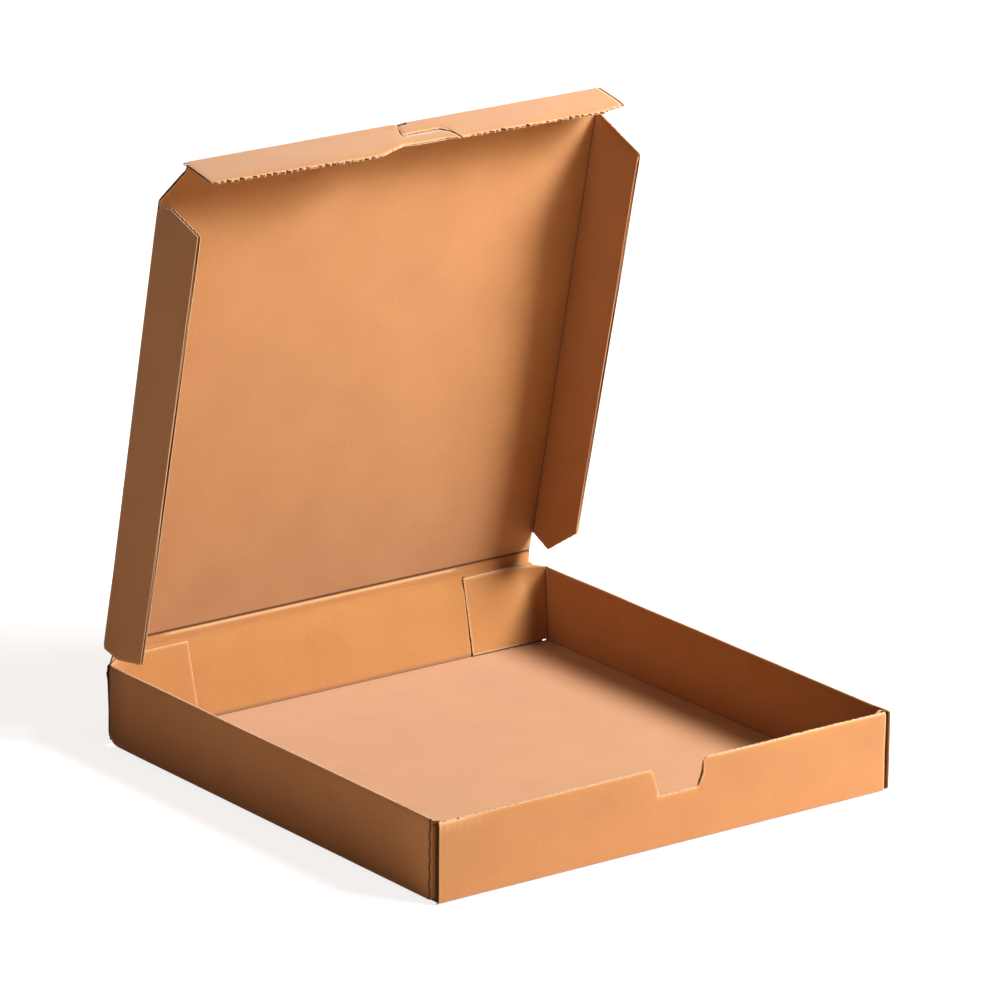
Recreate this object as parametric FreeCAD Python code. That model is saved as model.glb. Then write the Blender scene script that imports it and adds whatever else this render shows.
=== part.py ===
"""Open pizza box of corrugated board, folded from one die-cut sheet.

Millimetres. The origin is the middle of the tray's underside, X runs along the
front wall, Y from the front wall to the back wall, Z up. The lid stands open and
leans a little forward over the tray, and the back wall that carries it leans back.
Each sheet below is one panel of the folded blank. They meet at scored creases.
"""
import FreeCAD, Part
import math
import os

Vec = FreeCAD.Vector

# Board
BOARD = 2.4                # thickness of the corrugated board
FOLD_IN = 0.4              # inside radius of a fixed fold
CREASE_CLEAR = 0.35        # play between the two panels of a crease that moves
FIT_CLEAR = 0.8            # play beside a tab that lies between two walls
CORNER_ROUND = 1.0         # rounding of the die-cut corners

# Tray
TRAY_WIDTH = 305.0
TRAY_DEPTH = 306.0
WALL_HEIGHT = 45.7         # front wall and side walls
FRONT_GAP_LEFT = 1.4       # side wall's face to the front wall's left end
FRONT_GAP_RIGHT = 3.8      # side wall's face to the front wall's right end
FRONT_TAB_LENGTH = 60.0
FRONT_TAB_GAP = 1.5        # front wall to the corner tab behind it
CORNER_STEP = 3.3          # how far the right front corner stands forward of its tab
CORNER_FLAT = 1.5          # width of that corner before it slopes back to the tab
NOTCH_TOP = 37.5
NOTCH_BOTTOM = 25.0
NOTCH_DEPTH = 15.8
NOTCH_OFFSET = 6.0         # middle of the thumb notch to the right of the wall's middle
NOTCH_ROUND = 2.5

# Back wall
BACK_LEAN = 15.0           # degrees that the wall leans back in the open box
BACK_HEIGHT = 48.5         # crease to crease
REAR_TAB_LEFT = 60.0
REAR_TAB_RIGHT = 56.0
REAR_TAB_LIFT = 2.0        # bottom crease to the tab's lower edge
REAR_TAB_DROP = 1.9        # tab's upper edge to the lid's crease
REAR_TAB_SHOULDER = 7.0    # length of the slope at the tab's outer end
REAR_TAB_SLOPE = 1.9       # fall of that slope

# Lid
LID_LEAN = 11.4            # degrees that the open lid leans forward
LID_WIDTH = 293.0          # crease to crease
LID_DEPTH = 296.5          # crease to crease
LID_CORNER = 15.0          # diagonal cut of the front left corner
LID_REAR_CUT = 3.0

# Side flaps of the lid
SIDE_FLAP_REAR = 37.0      # width at the hinge end
SIDE_FLAP_FRONT = 41.0     # width at the front end
SIDE_FLAP_SPREAD = 2.0     # degrees that they stand open past square
SIDE_FLAP_CUT = 22.0       # width taken off by the slope at the hinge end
LEFT_FLAP_START = 4.6      # lid's rear crease to the flap's rear end
LEFT_FLAP_SLOPE = 9.0      # length of the slope along the flap
LEFT_FLAP_STOP = 17.5      # lid's front crease to the flap's front end
RIGHT_FLAP_START = 14.5
RIGHT_FLAP_SLOPE = 20.0
RIGHT_FLAP_STOP = 12.5
FLAP_END_TAPER = 5.0

# Front flap of the lid
FRONT_FLAP_LEFT = 27.5     # depth at the left end
FRONT_FLAP_MID = 31.0      # depth left of the thumb cut
FRONT_FLAP_RIGHT = 27.0    # depth right of the thumb cut
FRONT_FLAP_SLOPE = 18.0    # length of the slope at the right end
FRONT_FLAP_CUT = 3.5       # depth taken off by it
THUMB_LEFT = 25.0          # thumb cut's left end, left of the lid's middle
THUMB_RIGHT = 34.5
THUMB_EDGE = 22.8          # depth of the flap's edge inside the thumb cut
THUMB_STEP = 1.0           # flap's edge beside the cut's right end
THUMB_SLOPE_LEFT = 21.0
THUMB_SLOPE_RIGHT = 9.0
THUMB_ROUND = 4.0
THUMB_SWEEP = 8.0          # softer rounding at the foot of the left slope
SLIT_DEPTH = 12.4          # depth of the slit above the thumb tongue
SLIT_START = -2.0
SLIT_END = 29.0
SLIT_REACH = 4.1           # how far the slit runs on to the right, down to the edge
SLIT_WIDTH = 0.7

HALF = BOARD / 2
FOLD_OUT = FOLD_IN + BOARD
CREASE_GAP = HALF + CREASE_CLEAR
HALF_WIDTH = TRAY_WIDTH / 2
HALF_DEPTH = TRAY_DEPTH / 2
TAB_FACE = -HALF_DEPTH + BOARD + FRONT_TAB_GAP    # outside of the front corner tabs

# Creases
BACK_ANGLE = math.radians(BACK_LEAN)
LID_ANGLE = math.radians(LID_LEAN)
ACROSS = Vec(1, 0, 0)
BACK_UP = Vec(0, math.sin(BACK_ANGLE), math.cos(BACK_ANGLE))
BACK_AXIS = Vec(0, HALF_DEPTH - HALF, HALF)       # between floor and back wall
LID_AXIS = BACK_AXIS + BACK_UP * BACK_HEIGHT      # between back wall and lid
LID_UP = Vec(0, -math.sin(LID_ANGLE), math.cos(LID_ANGLE))
LID_IN = ACROSS.cross(LID_UP)                     # from the lid towards the tray's front


def rounded_face(points):
    """Face inside a closed outline of (x, y) or (x, y, corner radius) points."""
    corners = [(Vec(p[0], p[1], 0), p[2] if len(p) > 2 else 0.0) for p in points]
    starts = []
    ends = []
    edges = []
    for i, (corner, radius) in enumerate(corners):
        before = (corners[i - 1][0] - corner).normalize()
        after = (corners[(i + 1) % len(corners)][0] - corner).normalize()
        half_angle = before.getAngle(after) / 2
        reach = radius / math.tan(half_angle)
        starts.append(corner + before * reach)
        ends.append(corner + after * reach)
        if radius:
            inward = (before + after).normalize()
            middle = corner + inward * (radius / math.sin(half_angle) - radius)
            edges.append(Part.Arc(starts[i], middle, ends[i]).toShape())
    for i in range(len(corners)):
        first = ends[i - 1]
        second = starts[i]
        if first.distanceToPoint(second) > 1e-6:
            edges.append(Part.LineSegment(first, second).toShape())
    return Part.Face(Part.Wire(Part.__sortEdges__(edges)))


def prism(points, low, high):
    """Upright block between two heights, from its outline."""
    block = rounded_face(points).extrude(Vec(0, 0, high - low))
    block.translate(Vec(0, 0, low))
    return block


def sheet(points):
    """Board panel with its middle plane on z = 0, from its outline."""
    return prism(points, -HALF, HALF)


def placed(shape, origin, along, across):
    """Turn a shape so that its x and y axes lie along the two directions."""
    normal = along.cross(across)
    matrix = FreeCAD.Matrix(
        along.x, across.x, normal.x, origin.x,
        along.y, across.y, normal.y, origin.y,
        along.z, across.z, normal.z, origin.z,
        0, 0, 0, 1)
    turned = shape.copy()
    turned.Placement = FreeCAD.Placement(matrix).multiply(shape.Placement)
    return turned


def nose(start, end, outward):
    """Half-round edge of a crease, from one end of its axis to the other."""
    run = end - start
    side = run.cross(outward).normalize() * HALF
    arc = Part.Arc(start + side, start + outward * HALF, start - side).toShape()
    flat = Part.LineSegment(start - side, start + side).toShape()
    return Part.Face(Part.Wire([arc, flat])).extrude(run)


def fold(start, end, to_wall, to_floor):
    """Quarter-round fixed fold. The axis of its bend runs from start to end."""
    diagonal = (to_wall + to_floor).normalize()

    def arc(radius):
        points = [start + way * radius for way in (to_wall, diagonal, to_floor)]
        return Part.Arc(*points).toShape()

    def join(way):
        return Part.LineSegment(start + way * FOLD_IN, start + way * FOLD_OUT).toShape()

    edges = [arc(FOLD_IN), join(to_wall), arc(FOLD_OUT), join(to_floor)]
    return Part.Face(Part.Wire(Part.__sortEdges__(edges))).extrude(end - start)


def joined(pieces):
    return pieces[0].fuse(pieces[1:]).removeSplitter()


def front_wall():
    """Front wall with the thumb notch, standing on its fold."""
    left = -HALF_WIDTH + FRONT_GAP_LEFT
    right = HALF_WIDTH - FRONT_GAP_RIGHT
    outline = [
        (left, FOLD_OUT),
        (right, FOLD_OUT),
        (right, WALL_HEIGHT),
        (NOTCH_OFFSET + NOTCH_TOP / 2, WALL_HEIGHT, NOTCH_ROUND),
        (NOTCH_OFFSET + NOTCH_BOTTOM / 2, WALL_HEIGHT - NOTCH_DEPTH, NOTCH_ROUND),
        (NOTCH_OFFSET - NOTCH_BOTTOM / 2, WALL_HEIGHT - NOTCH_DEPTH, NOTCH_ROUND),
        (NOTCH_OFFSET - NOTCH_TOP / 2, WALL_HEIGHT, NOTCH_ROUND),
        (left, WALL_HEIGHT),
    ]
    wall = placed(sheet(outline), Vec(0, -HALF_DEPTH + HALF, 0), ACROSS, Vec(0, 0, 1))
    bend = -HALF_DEPTH + FOLD_OUT
    start = Vec(left, bend, FOLD_OUT)
    end = Vec(right, bend, FOLD_OUT)
    return [wall, fold(start, end, Vec(0, -1, 0), Vec(0, 0, -1))]


def side_wall(side, corner, bend_start):
    """Side wall with its corner tab, which is tucked in behind the front wall.

    corner holds the outline of the outside of its front corner.
    """
    inner = side * (HALF_WIDTH - BOARD)
    tab_end = side * (HALF_WIDTH - FRONT_TAB_LENGTH)
    outline = [(side * HALF_WIDTH, HALF_DEPTH)] + corner + [
        (tab_end, TAB_FACE),
        (tab_end, TAB_FACE + BOARD),
        (inner, TAB_FACE + BOARD, FOLD_IN),
        (inner, HALF_DEPTH),
    ]
    wall = prism(outline, FOLD_OUT, WALL_HEIGHT)
    bend = side * (HALF_WIDTH - FOLD_OUT)
    start = Vec(bend, bend_start, FOLD_OUT)
    end = Vec(bend, BACK_AXIS.y, FOLD_OUT)
    return [wall, fold(start, end, Vec(side, 0, 0), Vec(0, 0, -1))]


def left_side_wall():
    return side_wall(-1, [(-HALF_WIDTH, TAB_FACE, FOLD_OUT)], TAB_FACE + FOLD_OUT)


def right_side_wall():
    """Its front corner juts out beside the shorter end of the front wall."""
    front = TAB_FACE - CORNER_STEP
    corner = [
        (HALF_WIDTH, front, CORNER_ROUND),
        (HALF_WIDTH - CORNER_FLAT, front),
        (HALF_WIDTH - CORNER_FLAT - CORNER_STEP, TAB_FACE),
    ]
    return side_wall(1, corner, front + CORNER_ROUND)


def tray():
    """Floor, front wall, side walls and front corner tabs: one folded piece."""
    x = HALF_WIDTH - FOLD_OUT
    front = -HALF_DEPTH + FOLD_OUT
    floor = prism([(-x, front), (x, front), (x, BACK_AXIS.y), (-x, BACK_AXIS.y)], 0, BOARD)
    lip = ACROSS * (LID_WIDTH / 2)
    crease = nose(BACK_AXIS - lip, BACK_AXIS + lip, Vec(0, 1, 0))
    return joined([floor, crease] + front_wall() + left_side_wall() + right_side_wall())


def back_wall():
    """Wall between the floor's rear crease and the lid's crease."""
    x = LID_WIDTH / 2
    panel = sheet([(-x, CREASE_GAP), (x, CREASE_GAP), (x, BACK_HEIGHT), (-x, BACK_HEIGHT)])
    panel = placed(panel, BACK_AXIS, ACROSS, BACK_UP)
    return joined([panel, nose(LID_AXIS - ACROSS * x, LID_AXIS + ACROSS * x, BACK_UP)])


def rear_tab(side, length):
    """Corner tab of a side wall, lying against the inside of the back wall."""
    root = side * (HALF_WIDTH - BOARD - FIT_CLEAR)
    end = side * (HALF_WIDTH - length)
    top = BACK_HEIGHT - REAR_TAB_DROP
    outline = [
        (root, REAR_TAB_LIFT),
        (end, REAR_TAB_LIFT),
        (end, top),
        (root - side * REAR_TAB_SHOULDER, top),
        (root, top - REAR_TAB_SLOPE),
    ]
    inward = ACROSS.cross(BACK_UP)
    return placed(sheet(outline), BACK_AXIS + inward * BOARD, ACROSS, BACK_UP)


def on_lid(across, up):
    return LID_AXIS + ACROSS * across + LID_UP * up


def lid_panel():
    """Lid with half-round creases for its three flaps and one cut corner."""
    x = LID_WIDTH / 2
    corner_x = -x + LID_CORNER
    corner_y = LID_DEPTH - BOARD - LID_CORNER
    outline = [
        (-x + LID_REAR_CUT, CREASE_GAP),
        (x - LID_REAR_CUT, CREASE_GAP),
        (x, CREASE_GAP + LID_REAR_CUT),
        (x, LID_DEPTH),
        (corner_x, LID_DEPTH),
        (corner_x, LID_DEPTH - BOARD),
        (-x, corner_y),
        (-x, CREASE_GAP + LID_REAR_CUT),
    ]
    panel = placed(sheet(outline), LID_AXIS, ACROSS, LID_UP)
    creases = [
        nose(on_lid(-x, LEFT_FLAP_START), on_lid(-x, corner_y), ACROSS * -1),
        nose(on_lid(x, RIGHT_FLAP_START), on_lid(x, LID_DEPTH - RIGHT_FLAP_STOP), ACROSS),
        nose(on_lid(corner_x, LID_DEPTH), on_lid(x, LID_DEPTH), LID_UP),
    ]
    return joined([panel] + creases)


def side_flap(side, start, slope, stop):
    """Side flap of the lid. x runs along its crease, y out to its free edge."""
    far = LID_DEPTH - stop
    outline = [
        (start, CREASE_GAP),
        (start, SIDE_FLAP_REAR - SIDE_FLAP_CUT, CORNER_ROUND),
        (start + slope, SIDE_FLAP_REAR, CORNER_ROUND),
        (far - FLAP_END_TAPER, SIDE_FLAP_FRONT, CORNER_ROUND),
        (far, CREASE_GAP),
    ]
    spread = math.radians(SIDE_FLAP_SPREAD)
    outward = LID_IN * math.cos(spread) + ACROSS * side * math.sin(spread)
    return placed(sheet(outline), on_lid(side * LID_WIDTH / 2, 0), LID_UP, outward)


def front_flap():
    """Front flap of the lid, with the thumb cut and the tongue above it."""
    left = -LID_WIDTH / 2 + LID_CORNER
    right = LID_WIDTH / 2
    outline = [
        (left, CREASE_GAP),
        (left, FRONT_FLAP_LEFT, CORNER_ROUND),
        (-THUMB_LEFT, FRONT_FLAP_MID, THUMB_ROUND),
        (-THUMB_LEFT + THUMB_SLOPE_LEFT, THUMB_EDGE, THUMB_SWEEP),
        (THUMB_RIGHT - THUMB_SLOPE_RIGHT, THUMB_EDGE, THUMB_ROUND),
        (THUMB_RIGHT, FRONT_FLAP_RIGHT - THUMB_STEP, CORNER_ROUND),
        (right - FRONT_FLAP_SLOPE, FRONT_FLAP_RIGHT, CORNER_ROUND),
        (right, FRONT_FLAP_RIGHT - FRONT_FLAP_CUT, CORNER_ROUND),
        (right, CREASE_GAP),
    ]
    below = FRONT_FLAP_RIGHT + BOARD
    slit = [
        (SLIT_START, SLIT_DEPTH),
        (SLIT_END, SLIT_DEPTH),
        (SLIT_END + SLIT_REACH, below),
        (SLIT_END + SLIT_REACH - SLIT_WIDTH, below),
        (SLIT_END - SLIT_WIDTH, SLIT_DEPTH + SLIT_WIDTH),
        (SLIT_START, SLIT_DEPTH + SLIT_WIDTH),
    ]
    flat = sheet(outline).cut(prism(slit, -BOARD, BOARD))
    return placed(flat, on_lid(0, LID_DEPTH), ACROSS, LID_IN)


PARTS = {
    "tray": tray(),
    "back_wall": back_wall(),
    "rear_tab_left": rear_tab(-1, REAR_TAB_LEFT),
    "rear_tab_right": rear_tab(1, REAR_TAB_RIGHT),
    "lid_panel": lid_panel(),
    "lid_left_flap": side_flap(-1, LEFT_FLAP_START, LEFT_FLAP_SLOPE, LEFT_FLAP_STOP),
    "lid_right_flap": side_flap(1, RIGHT_FLAP_START, RIGHT_FLAP_SLOPE, RIGHT_FLAP_STOP),
    "lid_front_flap": front_flap(),
}

os.makedirs("parts", exist_ok=True)
for name, shape in PARTS.items():
    shape.exportStep("parts/%s.step" % name)
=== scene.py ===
"""Looks of the open pizza box: corrugated board with two liners, a waved layer and soft creases.

Lengths are millimetres until a mesh is made, which is in metres. Each panel is drawn flat, in
coordinates u (across the flutes) and v (along them), and a function puts its middle surface in place.
"""
import math

import bpy
import numpy as np
from mathutils import Matrix, Vector

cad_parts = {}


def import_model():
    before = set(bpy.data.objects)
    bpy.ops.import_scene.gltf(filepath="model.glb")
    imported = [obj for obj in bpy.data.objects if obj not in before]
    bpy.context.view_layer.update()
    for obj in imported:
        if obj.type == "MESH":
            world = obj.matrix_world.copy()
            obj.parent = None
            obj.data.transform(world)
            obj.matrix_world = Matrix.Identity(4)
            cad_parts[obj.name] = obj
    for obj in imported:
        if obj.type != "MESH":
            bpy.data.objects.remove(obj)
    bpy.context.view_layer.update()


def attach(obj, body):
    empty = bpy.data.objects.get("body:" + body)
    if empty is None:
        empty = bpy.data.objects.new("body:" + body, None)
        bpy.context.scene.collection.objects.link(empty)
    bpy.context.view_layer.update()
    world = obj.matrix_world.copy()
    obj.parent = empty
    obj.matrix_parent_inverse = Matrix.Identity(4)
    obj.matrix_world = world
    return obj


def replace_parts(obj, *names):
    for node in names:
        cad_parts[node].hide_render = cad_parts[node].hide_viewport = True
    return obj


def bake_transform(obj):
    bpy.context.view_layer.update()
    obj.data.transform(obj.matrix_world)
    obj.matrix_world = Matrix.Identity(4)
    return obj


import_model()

MM = 0.001
FULL_TURN = 2 * math.pi

# Board
BOARD = 2.4            # thickness
HALF = BOARD / 2
LINER = 0.3            # thickness of each liner
MEDIUM = 0.2           # thickness of the waved layer
PITCH = 4.2            # flute to flute
JAG = 0.3              # roughness of an edge cut across the flutes
FIXED_RADIUS = 1.6     # middle of the board in a fold that stays
CREASE_RADIUS = 1.5    # the same in a crease that moves
INSIDE, OUTSIDE, CORE, BOTH = 0, 1, 2, 3     # layers of a sheet
AT_U, AT_V = 0, 1      # which coordinate a line on a sheet holds

# Rows of points
REACH = 8.0            # straight run added to both ends of a path
BEND_STEPS = 12        # steps round one bend of a path
CUT_STEPS = (0.0, 0.4, 1.0, 2.2)       # rows beside a cut edge
END_STEPS = (0.3, 0.8, 1.5)            # columns beside the two ends of a panel
FINE_STEP = 0.4        # between rows round a front corner
CLOSEST = 0.04         # columns are further apart than this
TOUCH = 0.001          # places nearer than this count as one

# Edges
CRUSH_WIDTH = 1.4      # how far an edge cut across the flutes is pressed in
PINCH_WIDTH = 1.1      # how far an edge cut along the flutes is pressed in
PALE_WIDTH = 0.4       # how far the pale paper of a cut edge reaches: torn paper, and a painted highlight where the edge catches the light
SET_BACK = 0.1         # the waved layer ends this much inside the liners
TORN_STEP = 1.3        # between two random places of a torn edge
TORN_COUNT = 1200

# Tray
WALL_TOP = 45.7
X_SIDE = 151.3         # middle of a side wall
Y_FRONT = -151.8       # middle of the front wall
FLOOR_SIDE = 149.7     # the floor's own piece ends here at either side
FLOOR_FRONT = -150.2   # and here in front
FLOOR_BACK = 150.6     # and here at the back

# Back wall
BACK_AXIS = np.array([0.0, 151.8, 1.2])
BACK_LEAN = math.radians(15.0)
BACK_HEIGHT = 48.5
TAB_OFFSET = 2.0       # middle of the back wall to the middle of a pressed tab
WALL_BULGE = 1.2       # how far the back wall stands forward between the tabs
WALL_END = 1.6         # from the lid's axis down to the end of the wall's own piece
TAB_EDGE = 96.3        # x of the right tab's end at the foot of the back wall
TAB_SLANT = 2.2        # how much further out that end is at the top
TAB_FOOT, TAB_RISE = 154.0, 47.0       # v at the foot of that end, and from there to its top

# Lid
LID_LEAN = math.radians(11.4)
LID_HALF = 146.5
LID_DEPTH = 296.5
LID_CORNER = 15.0
LID_CUT = 5.5          # the lid and the top of its wall start this much in at the left
SCORE = 5.3            # from the lid's axis up to the score line that shows inside
FLAP_SPREAD = math.radians(2.0)
LEAD = 6.0             # run of a panel's path before its crease

X = np.array([1.0, 0.0, 0.0])
BACK_UP = np.array([0.0, math.sin(BACK_LEAN), math.cos(BACK_LEAN)])
BACK_IN = np.cross(X, BACK_UP)
LID_AXIS = BACK_AXIS + BACK_UP * BACK_HEIGHT
LID_UP = np.array([0.0, -math.sin(LID_LEAN), math.cos(LID_LEAN)])
LID_IN = np.cross(X, LID_UP)


# Flat outlines and paths

def rounded(points, steps=5):
    """Outline with its (u, v, radius) corners rounded, as an array of points."""
    out = []
    for i, point in enumerate(points):
        corner = np.array(point[:2], float)
        radius = point[2] if len(point) > 2 else 0.0
        if not radius:
            out.append(corner)
            continue
        back = np.array(points[i - 1][:2], float) - corner
        onward = np.array(points[(i + 1) % len(points)][:2], float) - corner
        back /= np.linalg.norm(back)
        onward /= np.linalg.norm(onward)
        half = math.acos(np.clip(back @ onward, -1, 1)) / 2
        reach = radius / math.tan(half)
        for k in range(steps + 1):
            t = k / steps
            out.append(corner + back * reach * (1 - t) ** 2 + onward * reach * t ** 2)
    return np.array(out)


def spans(outline, us):
    """Lowest and highest v of the outline at each u."""
    low = np.full(len(us), np.inf)
    high = np.full(len(us), -np.inf)
    for a, b in zip(outline, np.roll(outline, -1, 0)):
        inside = (us >= min(a[0], b[0]) - TOUCH) & (us <= max(a[0], b[0]) + TOUCH)
        if abs(a[0] - b[0]) < TOUCH:
            values = [np.full(len(us), a[1]), np.full(len(us), b[1])]
        else:
            values = [a[1] + (b[1] - a[1]) * (us - a[0]) / (b[0] - a[0])]
        for v in values:
            low = np.where(inside, np.minimum(low, v), low)
            high = np.where(inside, np.maximum(high, v), high)
    return low, high


def samples(outline, step, extra=()):
    """Columns over the outline: its u values, with its corners and a few near its two ends."""
    first, last = outline[:, 0].min(), outline[:, 0].max()
    count = max(2, int(round((last - first) / step)))
    ends = [first + d for d in END_STEPS] + [last - d for d in END_STEPS]
    us = np.concatenate([np.linspace(first, last, count + 1), outline[:, 0], ends, list(extra)])
    us = np.unique(np.round(us[(us >= first - 1e-9) & (us <= last + 1e-9)], 4))
    keep = np.concatenate([[True], np.diff(us) > CLOSEST])
    us = us[keep]
    us[0] = first
    us[-1] = last
    return us


def edge_distance(u, v, outline, joins):
    """Distances to the nearest edge cut across the flutes and to the nearest one along them."""
    best = [np.full(u.shape, 1e9), np.full(u.shape, 1e9)]
    for a, b in zip(outline, np.roll(outline, -1, 0)):
        if any(join(a, b) for join in joins):
            continue
        d = b - a
        square = max(d @ d, 1e-9)
        t = np.clip(((u - a[0]) * d[0] + (v - a[1]) * d[1]) / square, 0, 1)
        kind = 0 if abs(d[0]) >= abs(d[1]) else 1
        best[kind] = np.minimum(best[kind], np.hypot(u - a[0] - t * d[0], v - a[1] - t * d[1]))
    return best


def path(points, radius):
    """Bent line with rounded corners: lengths along it, and its points."""
    corners = [np.array(p, float) for p in points]
    line = [corners[0]]
    for before, corner, after in zip(corners, corners[1:], corners[2:]):
        a = (before - corner) / np.linalg.norm(before - corner)
        b = (after - corner) / np.linalg.norm(after - corner)
        half = math.acos(np.clip(a @ b, -1, 1)) / 2
        back = radius / math.tan(half)
        centre = corner + (a + b) / np.linalg.norm(a + b) * radius / math.sin(half)
        start = corner + a * back - centre
        end = corner + b * back - centre
        turn = math.pi - 2 * half
        for k in range(BEND_STEPS + 1):
            t = k / BEND_STEPS
            arm = start * math.sin((1 - t) * turn) + end * math.sin(t * turn)
            line.append(centre + arm / math.sin(turn))
    line.append(corners[-1])
    line = np.array(line)
    lengths = np.concatenate([[0], np.cumsum(np.linalg.norm(np.diff(line, axis=0), axis=1))])
    first = line[0] - (line[1] - line[0]) / np.linalg.norm(line[1] - line[0]) * REACH
    last = line[-1] + (line[-1] - line[-2]) / np.linalg.norm(line[-1] - line[-2]) * REACH
    line = np.vstack([first, line, last])
    lengths = np.concatenate([[-REACH], lengths, [lengths[-1] + REACH]])
    return lengths, line


def run(bent):
    """Length of a path without the straight runs that were added to it."""
    return bent[0][-1] - REACH


def on_path(bent, at):
    """Points of a path at the lengths given."""
    lengths, line = bent
    return np.stack([np.interp(at, lengths, line[:, k]) for k in range(line.shape[1])], -1)


def ramp(value, low, high):
    """Smooth rise from 0 at low to 1 at high."""
    t = np.clip((value - low) / (high - low), 0, 1)
    return t * t * (3 - 2 * t)


def slope(value, start, length):
    """Straight rise from 0 at start to 1 where it is length further on."""
    return np.clip((value - start) / length, 0, 1)


def ripple(u, v, seed, waves=4, wave_length=90.0):
    """Soft unevenness of a real sheet, about one millimetre per unit."""
    rng = np.random.default_rng(seed)
    total = np.zeros(np.shape(u))
    for _ in range(waves):
        rate_u, rate_v = rng.normal(0, 1 / wave_length, 2)
        size = rng.uniform(0.4, 1.0)
        phase = rng.uniform(0, 6.28)
        total = total + size * np.sin(FULL_TURN * (rate_u * u + rate_v * v) + phase)
    return total / waves


# Lines on a sheet

def between(axis, value):
    """Says that a side of an outline lies on u = value or v = value."""
    return lambda a, b: abs(a[axis] - value) < 0.01 and abs(b[axis] - value) < 0.01


def jagged(u, seed, size):
    """Uneven line of an edge that was cut across the flutes."""
    rng = np.random.default_rng(seed)
    phase = rng.uniform(0, PITCH)
    saw = np.abs(((u + phase) / PITCH) % 1.0 - 0.5) * 2
    places = np.arange(TORN_COUNT) - TORN_COUNT / 2
    noise = np.interp(u / TORN_STEP, places, rng.normal(0, 1, TORN_COUNT))
    amount = size(u) if callable(size) else size
    return amount * (saw - 0.5 + 0.4 * noise)


def mark(axis, at, layer, width, depth=0.0, shade=0.0, pale=0.0, where=None):
    """A line on a sheet, which is dented, darkened with painted shade or made pale, mostly as a painted
    highlight.
    """
    return {"axis": axis, "at": at, "layer": layer, "width": width, "depth": depth, "shade": shade,
            "pale": pale, "where": where}


def marked(marks, layer, u, v):
    """Dent, shade and paleness of one layer at each point."""
    total = {"depth": np.zeros(u.shape), "shade": np.zeros(u.shape), "pale": np.zeros(u.shape)}
    for m in marks:
        if layer != CORE and m["layer"] not in (layer, BOTH):
            continue
        place, other = (u, v) if m["axis"] == AT_U else (v, u)
        at = m["at"](other) if callable(m["at"]) else m["at"]
        near = np.exp(-((place - at) / m["width"]) ** 2)
        if m["where"]:
            near = near * m["where"](u, v)
        for key in total:
            total[key] = np.maximum(total[key], m[key] * near)
    return total


# Sheets of board

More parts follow.
